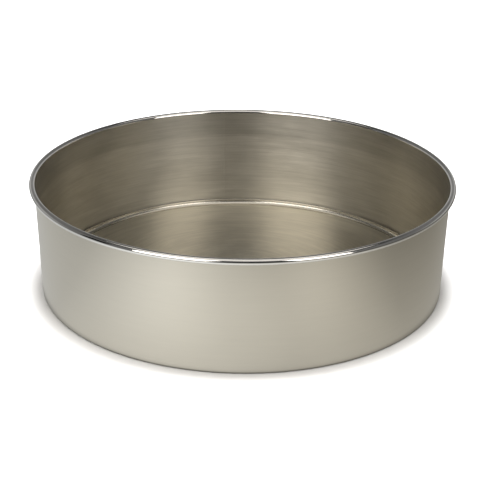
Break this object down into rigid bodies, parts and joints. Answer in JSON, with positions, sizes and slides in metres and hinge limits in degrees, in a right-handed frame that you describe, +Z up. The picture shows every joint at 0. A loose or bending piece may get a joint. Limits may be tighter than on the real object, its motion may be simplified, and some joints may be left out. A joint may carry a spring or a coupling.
{
  "type": "springform pan",
  "caption": "Round straight-sided springform cake pan with a wired rolled rim, a loose lift-out base and an over-centre latch that lets the band spring open.",
  "frame": {"origin": "on the pan's axis, on the plane that the pan stands on", "axes": "+Z up, -Y the front, +Y the side with the seam and the latch, +X to the right seen from the front"},
  "size_m": [0.268, 0.2728, 0.073],
  "materials": {
    "band_steel": "satin rolled stainless sheet with a bright rim",
    "base_steel": "satin stainless sheet with a fine circular brush",
    "rim_wire": "drawn steel wire",
    "latch_steel": "tumbled pressed stainless sheet",
    "pin_steel": "bright turned steel",
    "bail_wire": "bright drawn wire"
  },
  "bodies": {
    "band": {"band_left": "band_steel", "rim_wire_left": "rim_wire", "keeper": "latch_steel"},
    "free_side": {"band_right": "band_steel", "rim_wire_right": "rim_wire", "latch_bracket": "latch_steel", "lever_pin": "pin_steel"},
    "base": {"base_disc": "base_steel"},
    "lever": {"latch_lever": "latch_steel"},
    "bail": {"bail": "bail_wire"}
  },
  "joints": [
    {"name": "lever_swing", "type": "hinge", "parent": "free_side", "child": "lever", "pos_m": [0.01587, 0.13513, 0.036], "axis": [0, 0, 1], "range_deg": [0, 140]},
    {"name": "bail_swing", "type": "hinge", "parent": "lever", "child": "bail", "pos_m": [0.0285, 0.13407, 0.036], "axis": [0, 0, -1], "range_deg": [0, 161.5]},
    {"name": "band_spring", "type": "hinge", "parent": "band", "child": "free_side", "pos_m": [0, -0.134, 0.035], "axis": [0, 0, -1], "range_deg": [0, 1.11]},
    {"name": "base_lift", "type": "slide", "parent": "band", "child": "base", "axis": [0, 0, 1], "range_m": [0, 0.09]}
  ],
  "couplings": [
    {"joint": "bail_swing", "follows": "lever_swing", "ratio": 1.15},
    {"joint": "band_spring", "follows": "lever_swing", "ratio": 0.0078571}
  ]
}
